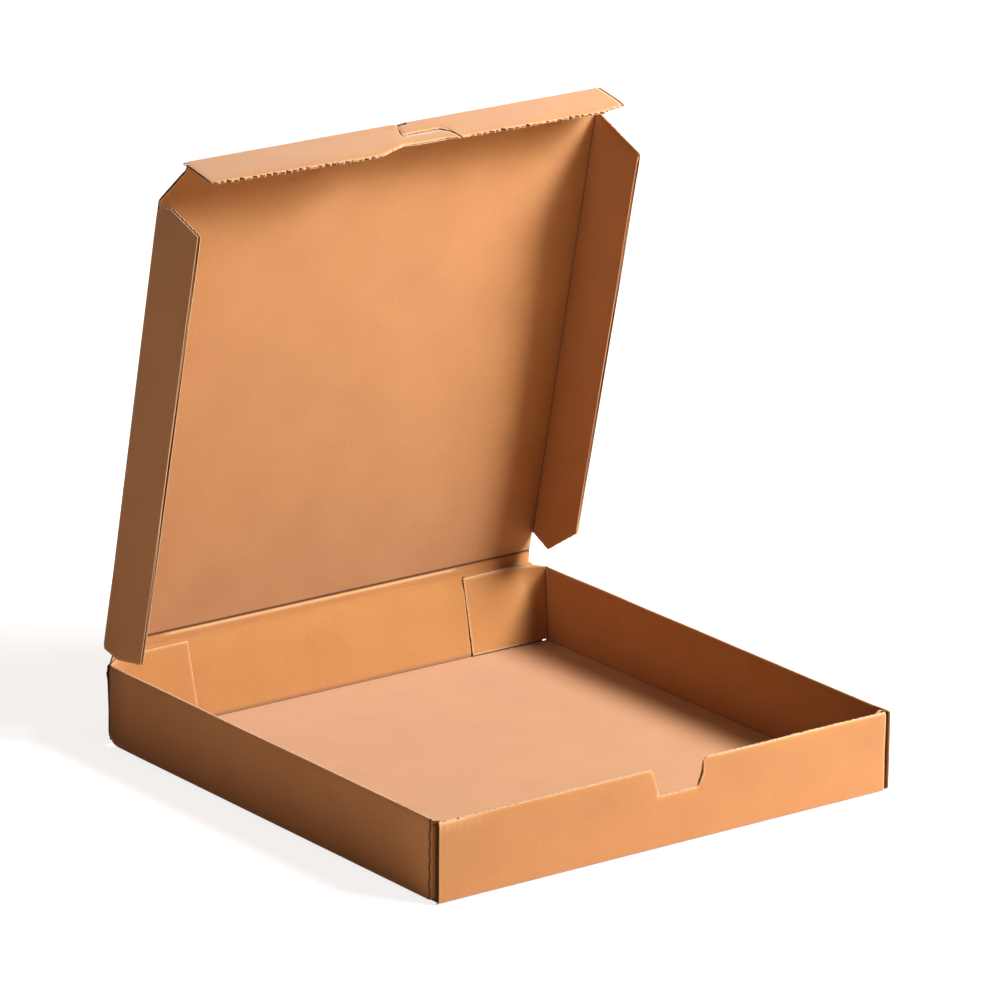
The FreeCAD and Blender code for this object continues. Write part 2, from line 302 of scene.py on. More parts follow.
class Board:
    """Collects the layers of one piece of board as one mesh."""

    def __init__(self, name):
        self.name = name
        self.verts = []
        self.faces = []
        self.slots = []
        self.uv = []
        self.pale = []
        self.shade = []
        self.count = 0

    def plate(self, grid_u, grid_v, low, high, surface, sign, pale, shade, slots):
        """Closed thin plate between two heights; slots are the materials of top, bottom and rim."""
        rows, columns = grid_u.shape
        u = grid_u.ravel()
        v = grid_v.ravel()
        middle = surface(u, v)
        step = 0.05
        du = surface(u + step, v) - surface(u - step, v)
        dv = surface(u, v + step) - surface(u, v - step)
        normal = np.cross(du, dv) * sign
        normal /= np.maximum(np.linalg.norm(normal, axis=1), 1e-9)[:, None]
        top = middle + normal * high.ravel()[:, None]
        bottom = middle + normal * low.ravel()[:, None]
        base = self.count
        half = rows * columns
        self.verts += [top, bottom]
        self.count += 2 * half
        index = np.arange(half).reshape(rows, columns)
        corners = [index[:-1, :-1], index[1:, :-1], index[1:, 1:], index[:-1, 1:]]
        up = np.stack(corners, -1).reshape(-1, 4)
        rim = np.concatenate([index[:, 0], index[-1, 1:], index[-2::-1, -1], index[0, -2:0:-1]])
        following = np.roll(rim, -1)
        side = np.stack([rim, rim + half, following + half, following], -1)
        if sign < 0:
            up = up[:, ::-1]
            side = side[:, ::-1]
        down = up[:, ::-1] + half
        for faces, slot in zip((up, down, side), slots):
            self.faces.append(faces + base)
            self.slots.append(np.full(len(faces), slot))
        uv = np.stack([u, v], -1) / UV_SIZE
        self.uv += [uv, uv]
        self.pale += [pale.ravel(), pale.ravel()]
        self.shade += [shade.ravel(), shade.ravel()]

    def sheet(self, outline, surface, sign=1, joins=(), start=CUT_STEPS, end=CUT_STEPS, middle=6, extra=(),
              jag_low=JAG, jag_high=JAG, seed=1, crush=0.2, pinch=0.3, recess=(0.0, 0.0), marks=(),
              thin=None, wear_and_highlight=1.0):
        """One panel with both liners and the waved layer; its inside is where the normal points.

        joins tell the sides that go on into other sheets, which are not cut. start and end are the rows
        at both sides, middle the number of rows between them and extra more columns. crush and pinch are
        the shares of the thickness lost at edges cut across and along the flutes. recess sets the waved
        layer back at its first and last column. thin is the share of the thickness left at a point.
        """
        outline = np.array(outline, float)
        start = np.array(start)
        end = np.array(end)
        for layer in (INSIDE, OUTSIDE, CORE):
            us = samples(outline, PITCH / 8 if layer == CORE else PITCH / 4, extra)
            if layer == CORE:
                us = us[(us >= us[0] + recess[0]) & (us <= us[-1] - recess[1])]
            set_back = SET_BACK * (layer == CORE)
            low, high = spans(outline, us)
            if jag_low:
                low = low - jagged(us, seed * 7, jag_low) + set_back
            if jag_high:
                high = high + jagged(us, seed * 7 + 3, jag_high) - set_back
            high = np.maximum(high, low + 0.02)
            room = np.clip((high - low) / (start[-1] + end[-1] + 1.0), 0, 1)[:, None]
            first = low[:, None] + start[None, :] * room
            last = high[:, None] - end[::-1][None, :] * room
            count = max(1, middle if layer != CORE else middle // 2)
            t = np.linspace(0, 1, count + 2)[1:-1][None, :]
            grid_v = np.concatenate([first, first[:, -1:] * (1 - t) + last[:, :1] * t, last], 1)
            grid_u = np.repeat(us[:, None], grid_v.shape[1], 1)
            across, along = edge_distance(grid_u, grid_v, outline, joins)
            lines = marked(marks, layer, grid_u, grid_v)
            pressed = crush * np.exp(-across / CRUSH_WIDTH) + pinch * np.exp(-along / PINCH_WIDTH)
            thick = HALF * (1 - pressed)
            if thin:
                thick = thick * thin(grid_u, grid_v)
            thick = np.maximum(thick - lines["depth"], LINER + 0.03)
            # Cut edges are made pale: torn paper, and also a painted highlight for light that catches the
            # edge.
            pale = np.maximum(wear_and_highlight * np.exp(-np.minimum(across, along) / PALE_WIDTH), lines["pale"])
            looks = (surface, sign, pale, lines["shade"])
            # The liner faces that look into the board get the third, near black material: painted shade for
            # the board's hollow inside.
            if layer == INSIDE:
                self.plate(grid_u, grid_v, thick - LINER, thick, *looks, (PAPER, PAINTED_SHADE, PAPER))
            elif layer == OUTSIDE:
                self.plate(grid_u, grid_v, -thick, LINER - thick, *looks, (PAINTED_SHADE, PAPER, PAPER))
            else:
                swing = np.maximum(thick - LINER - MEDIUM / 2, 0.03)
                wave = swing * np.sin(FULL_TURN * grid_u / PITCH)
                low, high = wave - MEDIUM / 2, wave + MEDIUM / 2
                self.plate(grid_u, grid_v, low, high, *looks, (FLUTE, FLUTE, FLUTE))

    def build(self):
        """Makes the mesh and its object, with the attributes that the materials read."""
        verts = np.concatenate(self.verts) * MM
        faces = np.concatenate(self.faces)
        slots = np.concatenate(self.slots)
        uv = np.concatenate(self.uv)
        mesh = bpy.data.meshes.new(self.name)
        mesh.vertices.add(len(verts))
        mesh.vertices.foreach_set("co", verts.astype(np.float32).ravel())
        mesh.loops.add(len(faces) * 4)
        mesh.loops.foreach_set("vertex_index", faces.astype(np.int32).ravel())
        mesh.polygons.add(len(faces))
        mesh.polygons.foreach_set("loop_start", np.arange(0, len(faces) * 4, 4, dtype=np.int32))
        for material in MATERIALS:
            mesh.materials.append(material)
        mesh.polygons.foreach_set("material_index", slots.astype(np.int32))
        mesh.update(calc_edges=True)
        layer = mesh.uv_layers.new(name="sheet")
        layer.data.foreach_set("uv", uv[faces.ravel()].astype(np.float32).ravel())
        # cut_edge holds the paleness of torn paper together with painted highlights; crease holds painted
        # shade.
        for name, parts in (("cut_edge", self.pale), ("crease", self.shade)):
            attribute = mesh.attributes.new(name, "FLOAT", "POINT")
            attribute.data.foreach_set("value", np.concatenate(parts).astype(np.float32))
        mesh.polygons.foreach_set("use_smooth", np.ones(len(faces), bool))
        mesh.set_sharp_from_angle(angle=math.radians(40))
        obj = bpy.data.objects.new(self.name, mesh)
        bpy.context.scene.collection.objects.link(obj)
        return obj


# Materials

# The third material is painted shade: a near black brown for the liner faces inside the board.
PAPER, FLUTE, PAINTED_SHADE = 0, 1, 2           # places in the list of materials
UV_SIZE = 100.0                        # millimetres per unit of the sheet's map
MIX_A, MIX_B, MIX_OUT = 6, 7, 2        # colour sockets of a mix node


class Nodes:
    """Short calls to fill one node tree."""

    def __init__(self, tree):
        self.tree = tree
        tree.nodes.clear()

    def add(self, kind, **values):
        made = self.tree.nodes.new(kind)
        for key, value in values.items():
            setattr(made, key, value)
        return made

    def feed(self, value, socket):
        """Links an output to a socket, or sets the socket to a number or colour."""
        if isinstance(value, bpy.types.NodeSocket):
            self.tree.links.new(value, socket)
        else:
            socket.default_value = value

    def calc(self, operation, a, b=0.0):
        made = self.add("ShaderNodeMath", operation=operation)
        self.feed(a, made.inputs[0])
        self.feed(b, made.inputs[1])
        return made.outputs[0]

    def total(self, first, *others):
        for other in others:
            first = self.calc("ADD", first, other)
        return first

    def mix(self, factor, a, b):
        made = self.add("ShaderNodeMix", data_type="RGBA")
        self.feed(factor, made.inputs["Factor"])
        self.feed(a, made.inputs[MIX_A])
        self.feed(b, made.inputs[MIX_B])
        return made.outputs[MIX_OUT]

    def noise(self, source, scale, detail, rough):
        made = self.add("ShaderNodeTexNoise")
        self.feed(source, made.inputs["Vector"])
        self.feed(scale, made.inputs["Scale"])
        self.feed(detail, made.inputs["Detail"])
        self.feed(rough, made.inputs["Roughness"])
        return made.outputs["Fac"]

    def seen(self):
        """1 for rays from the camera, glossy and transmission rays, and 0 for light that bounces."""
        rays = self.add("ShaderNodeLightPath").outputs
        direct = self.calc("MAXIMUM", rays["Is Camera Ray"], rays["Is Glossy Ray"])
        return self.calc("MAXIMUM", direct, rays["Is Transmission Ray"])


def kraft(name, tone, pale, dark, torn_edge_and_highlight):
    """Brown paper with fibres, faint washboard lines and a cloudy tone; pale at cuts from torn paper and a
    painted highlight, and painted shade in creases, folds and gaps.
    """
    material = bpy.data.materials.new(name)
    material.use_nodes = True
    nodes = Nodes(material.node_tree)

    uv = nodes.add("ShaderNodeUVMap", uv_map="sheet").outputs["UV"]
    stretch = nodes.add("ShaderNodeMapping")
    nodes.feed(uv, stretch.inputs["Vector"])
    nodes.feed((5.0, 1.2, 1.0), stretch.inputs["Scale"])
    split = nodes.add("ShaderNodeSeparateXYZ")
    nodes.feed(uv, split.inputs[0])
    clouds = nodes.noise(uv, scale=3.2, detail=4.0, rough=0.55)
    fibres = nodes.noise(stretch.outputs[0], scale=22.0, detail=6.0, rough=0.65)
    specks = nodes.noise(uv, scale=150.0, detail=3.0, rough=0.6)
    turns = nodes.calc("MULTIPLY", split.outputs["X"], FULL_TURN * UV_SIZE / PITCH)
    washboard = nodes.calc("SINE", turns)

    def gain(value, factor):
        return nodes.calc("MULTIPLY", value, factor)

    def about_zero(value, factor):
        return gain(nodes.calc("SUBTRACT", value, 0.5), factor)

    shade = nodes.total(about_zero(clouds, 0.55), about_zero(fibres, 0.5), about_zero(specks, 0.35),
                        gain(washboard, 0.006), 0.5)
    tones = nodes.add("ShaderNodeValToRGB")
    nodes.feed(shade, tones.inputs["Fac"])
    stops = tones.color_ramp.elements
    stops[0].position = 0.1
    stops[0].color = (*dark, 1)
    stops[1].position = 0.9
    stops[1].color = (*pale, 1)
    stops.new(0.5).color = (*tone, 1)

    # Toward the cut edges the colour goes pale: torn paper plus a painted highlight of the lit edge.
    edge = nodes.add("ShaderNodeAttribute", attribute_name="cut_edge").outputs["Fac"]
    wear_and_highlight = gain(edge, nodes.total(gain(fibres, 0.9), 0.3))
    paper = nodes.mix(wear_and_highlight, tones.outputs["Color"], (*torn_edge_and_highlight, 1))
    # Painted shade: the crease attribute darkens the colour towards a near black brown in creases, folds,
    # gaps and slots, where shade falls.
    crease = nodes.add("ShaderNodeAttribute", attribute_name="crease").outputs["Fac"]
    depth = gain(crease, nodes.total(gain(fibres, 0.4), 0.75))
    painted_shade_colour = (dark[0] * 0.11, dark[1] * 0.07, dark[2] * 0.05, 1)

    bump = nodes.add("ShaderNodeBump")
    nodes.feed(nodes.total(gain(washboard, 0.06), fibres, gain(specks, 0.5)), bump.inputs["Height"])
    nodes.feed(0.35, bump.inputs["Strength"])
    nodes.feed(0.00012, bump.inputs["Distance"])

    shader = nodes.add("ShaderNodeBsdfPrincipled")
    nodes.feed(nodes.mix(depth, paper, painted_shade_colour), shader.inputs["Base Color"])
    nodes.feed(nodes.total(gain(fibres, 0.2), 0.68), shader.inputs["Roughness"])
    nodes.feed(0.15, shader.inputs["Specular IOR Level"])
    # The sheen is taken away where the painted shade is, to keep it dark.
    nodes.feed(gain(nodes.calc("SUBTRACT", 1.0, crease), 0.70), shader.inputs["Sheen Weight"])
    nodes.feed(0.45, shader.inputs["Sheen Roughness"])
    nodes.feed(bump.outputs[0], shader.inputs["Normal"])
    out = nodes.add("ShaderNodeOutputMaterial")
    nodes.feed(shader.outputs[0], out.inputs["Surface"])
    return material


MATERIALS = [
    kraft("kraft_liner", tone=(0.360, 0.153, 0.043), pale=(0.415, 0.188, 0.058),
          dark=(0.305, 0.122, 0.031), torn_edge_and_highlight=(0.66, 0.42, 0.23)),
    kraft("kraft_flute", tone=(0.25, 0.11, 0.038), pale=(0.31, 0.14, 0.052),
          dark=(0.19, 0.08, 0.026), torn_edge_and_highlight=(0.60, 0.36, 0.18)),
    # Painted shade: near black brown for the liner faces that look into the board.
    kraft("kraft_core_painted_shade", tone=(0.10, 0.040, 0.013), pale=(0.13, 0.055, 0.019),
          dark=(0.07, 0.026, 0.008), torn_edge_and_highlight=(0.20, 0.09, 0.035)),
]


# Tray

def tray_floor():
    """Floor between the folds of the walls, with its rear corners cut off a little."""
    board = Board("tray_floor")
    left_cut, right_cut = 4.0, 0.6

    def surface(u, v):
        return np.stack([u, v, np.full(np.shape(u), HALF)], -1)

    outline = [(-FLOOR_SIDE, FLOOR_FRONT), (FLOOR_SIDE, FLOOR_FRONT),
               (FLOOR_SIDE, FLOOR_BACK - right_cut), (FLOOR_SIDE - right_cut, FLOOR_BACK),
               (-FLOOR_SIDE + left_cut, FLOOR_BACK), (-FLOOR_SIDE, FLOOR_BACK - left_cut)]
    board.sheet(outline, surface, joins=[lambda a, b: True], start=(0, 2), end=(0, 2), middle=8,
                jag_low=0, jag_high=0)
    return board.build()


def tray_front():
    """Front wall and its fold. v runs down to the fold from the top edge, as on the flat blank."""
    board = Board("tray_front_wall")
    on_floor = -144.2                  # y where the path up the wall starts
    line = path([(on_floor, HALF), (Y_FRONT, HALF), (Y_FRONT, WALL_TOP)], FIXED_RADIUS)
    top = on_floor - run(line)
    left, right = -151.7, 148.7
    notch = [(-11.8, 0.0, 2.5), (-6.5, 15.8, 2.5), (20.3, 15.8, 3.0), (23.3, 8.5, 3.0), (23.7, 2.0),
             (26.2, 0.0, 1.0)]         # u, depth, radius

    def surface(u, v):
        p = on_path(line, on_floor - v)
        bulge = 0.5 * np.maximum(ripple(u, v, seed=5) + 0.4, 0) * slope(v, FLOOR_FRONT, -20)
        return np.stack([u, p[..., 0] + bulge, p[..., 1]], -1)

    def torn_top(u):
        return 0.2 + 1.1 * np.exp(-(u - left) / 20)

    outline = [(left, FLOOR_FRONT), (left, top)]
    outline += [(u, top + depth, *radius) for u, depth, *radius in notch]
    outline += [(right, top), (right, FLOOR_FRONT)]
    # Painted shade: the wall's left end is darkened nearly black. Along the top edge the paper is made pale:
    # partly torn paper, partly a painted highlight where the edge catches the light.
    end_shade = mark(AT_U, left, BOTH, width=0.35, shade=1.0)
    pale_left = mark(AT_V, top, BOTH, width=1.7, pale=1.0, where=lambda u, v: ramp(u, -110, -146))
    pale_right = mark(AT_V, top, BOTH, width=0.7, pale=1.0, where=lambda u, v: ramp(u, 20, 40))
    board.sheet(rounded(outline), surface, joins=[between(AT_V, FLOOR_FRONT)], end=np.linspace(0, 6, 13),
                extra=[left + d for d in (0.2, 0.4, 0.6)], jag_low=torn_top, jag_high=0, seed=3,
                crush=0.6, pinch=0.05, recess=(1.6, 0.8), marks=[end_shade, pale_left, pale_right])
    return board.build()


def tray_side(side):
    """Side wall with its bottom fold and its front corner tab."""
    board = Board("tray_side_left" if side < 0 else "tray_side_right")
    on_floor = 145.0                   # x where the path up the wall starts
    on_wall = -100.0                   # y where the path round the front corner starts
    tab_end = 92.5                     # x of the tab's inner end
    rise = path([(on_floor, HALF), (X_SIDE, HALF), (X_SIDE, WALL_TOP)], FIXED_RADIUS)
    u_top = on_floor + run(rise)
    thin = None
    if side < 0:
        tab_y = -148.9
        plan = path([(X_SIDE, on_wall), (X_SIDE, tab_y), (tab_end, tab_y)], FIXED_RADIUS)
        split, fold, fine = -143.2, -148.9, 12.0         # v where the tab's sheet and its fold start
        raised, rear_cut, rear_shade = -150.8, 6.5, 2.8  # v where the foot is raised, how far it is cut, and how wide the painted shade at the rear end is
        # Painted shade round the front corner: a dark line in the crease and a near black band on the bend.
        corner_shade_marks = [
            mark(AT_V, lambda u: -145.6 + 0.3 * np.sin(u * 0.7) + 0.2 * np.sin(u * 1.9), OUTSIDE, width=0.9,
                 depth=0.3, shade=1.0),
            mark(AT_V, -149.9, OUTSIDE, width=2.2, shade=1.0)]
    else:
        tab_y = -147.9
        jut, jut_front = 152.05, -152.45                 # the wall's end beside the front wall
        plan = path([(X_SIDE, on_wall), (X_SIDE, -139.0), (jut, -146.5), (jut, jut_front),
                     (jut - 0.7, jut_front), (149.3, tab_y), (tab_end, tab_y)], 0.3)
        split, fold, fine = -138.0, -158.0, 22.0
        raised, rear_cut, rear_shade = -156.4, 1.2, 1.5
        # Painted shade: a dark band on the bend beside the front wall's end.
        corner_shade_marks = [mark(AT_V, -154.7, OUTSIDE, width=2.0, shade=1.0)]

        def thin(u, v):
            lost = 0.64                # share of the thickness, where the board is pressed round the jut
            return 1 - lost * ramp(v, -136.5, -144.5) * ramp(v, -161.5, -158.5)

    def wall(u, v):
        p = on_path(rise, np.abs(u) - on_floor)
        q = on_path(plan, on_wall - v)
        straight = v > on_wall
        dent = 0.6 * np.minimum(ripple(u, v, seed=11 + side) - 0.4, 0) * slope(p[..., 1], 6, 30)
        x = np.where(straight, X_SIDE, q[..., 0]) + p[..., 0] - X_SIDE + dent * ramp(v, -150, -120)
        y = np.where(straight, v, q[..., 1])
        return np.stack([side * x, y, p[..., 1]], -1)

    rear = 152.6
    # Painted shade: a dark line along the inside fold to the floor, and a near black band at the wall's rear
    # end.
    marks = corner_shade_marks + [mark(AT_U, side * 151.0, INSIDE, width=0.8, depth=0.25, shade=0.45),
                            mark(AT_V, rear, OUTSIDE, width=rear_shade, depth=0.3, shade=1.0)]
    outline = [(side * FLOOR_SIDE, split), (side * FLOOR_SIDE, rear - rear_cut),
               (side * (FLOOR_SIDE + rear_cut * 0.75), rear), (side * u_top, rear), (side * u_top, split)]
    board.sheet(outline, wall, joins=[between(AT_U, side * FLOOR_SIDE), between(AT_V, split)],
                start=(0, 2), end=np.linspace(0, 3, 7), middle=16,
                extra=[side * (on_floor + d) for d in np.arange(4.4, 8.4, 0.3)], jag_low=0, jag_high=0,
                seed=21 + side, pinch=0.62, marks=marks, thin=thin)
    tab_low, corner_low = 152.3, 150.4                   # u of the lower edge, on the tab and its fold
    tab_top, tab_far = u_top - 2.6, on_wall - run(plan)  # u of the tab's top, v of its far end
    tab = [(side * tab_low, tab_far), (side * tab_low, raised - 1.0), (side * corner_low, raised),
           (side * corner_low, split), (side * u_top, split), (side * u_top, fold - 1.5),
           (side * tab_top, fold - 5.5), (side * tab_top, tab_far)]
    rows = np.linspace(0, fine, int(fine / FINE_STEP))
    board.sheet(tab, wall, joins=[between(AT_V, split)], end=rows, jag_high=0, seed=31 + side,
                pinch=0.62, marks=marks, thin=thin)
    return board.build()


# Back wall and its tabs

def back_wall():
    """Back wall from the floor's fold to the lid's axis, with a painted shadow line where the right tab
    ends.
    """
    board = Board("back_wall_board")
    top = BACK_AXIS + BACK_UP * (BACK_HEIGHT - WALL_END)
    line = path([BACK_AXIS[1:] + (-LEAD, 0), BACK_AXIS[1:], top[1:]], CREASE_RADIUS)
    start = BACK_AXIS[1] - LEAD
    end = start + run(line)

    def rise(v):
        return slope(v, TAB_FOOT, TAB_RISE)

    def between_tabs(u, v):
        slant = TAB_SLANT * rise(v)
        return ramp(u, -115.0, -75.0) * ramp(u, TAB_EDGE - 0.7 + slant, TAB_EDGE - 1.5 + slant)

    def surface(u, v):
        p = on_path(line, v - start)
        bow = 0.4 * ripple(u, v, seed=41) * slope(v, 156, 20) * slope(v, 198, -10)
        bow = bow - WALL_BULGE * between_tabs(u, v) * ramp(v, 152.8, 155.2) * ramp(v, end, end - 12)
        return np.stack([u, p[..., 0] + bow, p[..., 1]], -1)

    foot, wide = LID_HALF, LID_HALF + 2.8
    outline = [(-foot, FLOOR_BACK), (foot, FLOOR_BACK), (wide, 158), (wide, end - 3.0), (LID_HALF, end),
               (LID_CUT - LID_HALF, end), (-foot, end - 9.0)]
    # Painted shade along the fold to the floor, and a painted shadow line beside the right tab's end.
    fold_shade = mark(AT_V, 152.6, INSIDE, width=0.8, depth=0.2, shade=0.5)
    tab_shadow = mark(AT_U, lambda v: TAB_EDGE + TAB_SLANT * rise(v), INSIDE, width=0.8, shade=0.9,
                    where=lambda u, v: ramp(v, 151.5, 153.5))
    left_columns = [-92.6, -91.4, -90.2, -89.0]          # beside the ends of both tabs
    right_columns = list(np.arange(93.6, 99.6, 0.3))
    board.sheet(outline, surface, joins=[between(AT_V, FLOOR_BACK), between(AT_V, end)],
                start=np.linspace(0, 6, 15), end=(0.0, 0.5, 1.0, 2.0),
                extra=left_columns + right_columns, jag_low=0, jag_high=0, seed=43,
                marks=[fold_shade, tab_shadow])
    obj = board.build()
    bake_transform(obj)
    return obj


def rear_tab(side, length):
    """Tab folded from the side wall, swinging over to lie against the leaning back wall."""
    board = Board("rear_tab_left_board" if side < 0 else "rear_tab_right_board")
    plane = BACK_AXIS + BACK_IN * TAB_OFFSET
    tab_end, corner = 152.5 - length, X_SIDE - 0.1       # v at both ends of the tab
    low, high = 1.6, 44.2                                # u at its foot and near its top
    foot_y, foot_z, corner_lean = 150.4, 3.0, 2.2        # where its corner stands on the side wall
    foot_flat, bend_growth = 148.4, 15.0                 # where it gets flat, and how much later at the top
    if side < 0:
        pressed, top_edge, corner_top, far_step = 0.4, 45.4, high, 0.4
    else:
        pressed, top_edge, corner_top, far_step = 0.6, 47.0, 46.6, 1.0

    def surface(u, v):
        height = np.abs(u)
        k = slope(height, low, high - low)
        flat = plane[None, :] + BACK_UP[None, :] * height[..., None]
        corner_y = foot_y + corner_lean * k
        corner_z = foot_z + (WALL_TOP - foot_z) * k
        x_flat = foot_flat - bend_growth * k
        t = slope(np.minimum(v, corner), x_flat, X_SIDE - x_flat)
        share = 1 - t * t
        y = corner_y * (1 - share) + flat[..., 1] * share
        z = corner_z * (1 - share) + flat[..., 2] * share
        past = np.maximum(v - corner, 0)
        return np.stack([side * np.minimum(v, corner), y - past, z], -1)

    def thin(u, v):
        return pressed + (1 - pressed) * ramp(v, tab_end + 10, 147.0)

    outline = [(side * low, tab_end), (side * low, corner), (side * high, corner),
               (side * corner_top, 149.6), (side * top_edge, 142.0), (side * 45.8, tab_end + far_step)]
    # Painted shade along the corner line and a painted highlight along the top edge; on the left tab,
    # painted shade over the outside near the corner.
    marks = [mark(AT_V, corner, INSIDE, width=1.1, depth=0.2, shade=0.85),
             mark(AT_U, side * 46.0, INSIDE, width=1.0, pale=0.8)]
    if side < 0:
        marks.append(mark(AT_V, corner, OUTSIDE, width=9.0, shade=1.0))
    board.sheet(outline, surface, sign=-1, joins=[between(AT_V, corner)], end=np.linspace(0, 20, 30),
                jag_low=0.15, jag_high=0, seed=51 + side, pinch=0.2, marks=marks, thin=thin)
    obj = board.build()
    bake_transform(obj)
    return obj


# Lid

def lid_panel():
    """Lid from its crease on the back wall to the front flap's crease, with its left corner cut off."""
    board = Board("lid_board")
    line = path([(LID_AXIS - BACK_UP * LEAD)[1:], LID_AXIS[1:], (LID_AXIS + LID_UP * LID_DEPTH)[1:]],
                CREASE_RADIUS)
    join = -WALL_END
    dip = 1.1                          # depth of the dent along the score line
    margin = 30                        # the sheet is flat this near its edges

    def surface(u, v):
        p = on_path(line, v + LEAD)
        flat = ramp(v, 0, 40) * ramp(v, LID_DEPTH, LID_DEPTH - margin)
        flat = flat * ramp(np.abs(u), LID_HALF, LID_HALF - margin)
        bow = 0.9 * ripple(u, v, seed=61) * flat - dip * slope(v, 0, SCORE) * ramp(v, SCORE + 60, SCORE)
        return np.stack([u, p[..., 0] + LID_IN[1] * bow, p[..., 1] + LID_IN[2] * bow], -1)

    def thin(u, v):
        lost = 0.4                     # share of the thickness, where the board is pressed at the score
        return 1 - lost * ramp(v, 0, SCORE) * ramp(v, SCORE + 40, SCORE)

    top = run(line) - LEAD
    edge = top - 1.2                   # the front flap's piece starts here
    corner_top = top - BOARD - 2.5     # the diagonal cut starts this far below the crease
    right_foot = LID_HALF - 0.8
    outline = [(LID_CUT - LID_HALF, join), (right_foot, join), (right_foot, 1.0), (LID_HALF, 3.5),
               (LID_HALF, edge), (-LID_HALF + LID_CORNER + 1.5, edge), (-LID_HALF + LID_CORNER, corner_top),
               (-LID_HALF, corner_top - LID_CORNER), (-LID_HALF, 4.5), (LID_CUT - LID_HALF, 0.5)]
    # Painted shade along the score line, and a painted highlight just below it between the tabs.
    score_shade = mark(AT_V, SCORE, INSIDE, width=0.8, depth=0.5, shade=1.0)
    score_highlight = mark(AT_V, SCORE - 1.5, INSIDE, width=0.7, pale=0.9,
                      where=lambda u, v: ramp(u, -112, -100) * ramp(u, 96, 90))
    board.sheet(outline, surface, joins=[between(AT_V, join), between(AT_V, edge)],
                start=np.linspace(0, 9, 24), middle=14, jag_low=0, jag_high=0, seed=63,
                marks=[score_shade, score_highlight], thin=thin)
    obj = board.build()
    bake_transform(obj)
    return obj


def side_flap(side):
    """Side flap: u runs out from the lid's crease, v along it."""
    board = Board("lid_left_flap_board" if side < 0 else "lid_right_flap_board")
    out_run = 60.0
    far_end = (side * math.sin(FLAP_SPREAD) * out_run, math.cos(FLAP_SPREAD) * out_run)
    line = path([(-side * LEAD, 0.0), (0.0, 0.0), far_end], CREASE_RADIUS)
    over = run(line) - out_run - LEAD  # what the bend takes off the path's length, below zero
    near = -1.7 - over
    corner = LID_AXIS + X * side * LID_HALF

    def surface(u, v):
        outward = u * side
        p = on_path(line, outward + LEAD + over)
        bow = 0.5 * ripple(u, v, seed=71 + side) * slope(outward, 6, 25)
        flat = X * (p[..., 0] + bow)[..., None] + LID_IN * p[..., 1][..., None]
        return corner + flat + LID_UP * v[..., None]

    # How pale the cut edges look, torn paper plus a painted highlight, is strong on the left flap and weak
    # on the right.
    if side < 0:
        far = LID_DEPTH - 17.5
        points = [(near, 4.0), (15.0, 4.2, 1.0), (37.0, 12.6, 1.0), (41.0, far - 5.0, 1.0),
                  (13.0, far - 1.6), (6.0, far - 3.0, 1.0), (near, far - 9.0)]
        crush, wear_and_highlight, recess = 0.15, 1.0, (0.8, 0.0)
    else:
        far = LID_DEPTH - 12.5
        points = [(near, 18.0), (15.0, 13.4, 1.0), (37.0, 34.5, 1.0), (41.0, far - 9.5, 1.0), (near, far)]
        crush, wear_and_highlight, recess = 0.75, 0.3, (0.0, 0.8)
    outline = rounded([(side * u, *rest) for u, *rest in points])
    # The mark along the fold inside is painted shade.
    board.sheet(outline, surface, joins=[between(AT_U, side * near)], middle=16,
                extra=[side * u for u in np.arange(near, 3.0, 0.3)], jag_low=0.15, jag_high=0.15,
                seed=73 + side, crush=crush, pinch=0.1, recess=recess, wear_and_highlight=wear_and_highlight,
                marks=[mark(AT_U, side * 0.6, INSIDE, width=0.9, depth=0.3, shade=0.7)])
    obj = board.build()
    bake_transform(obj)
    return obj


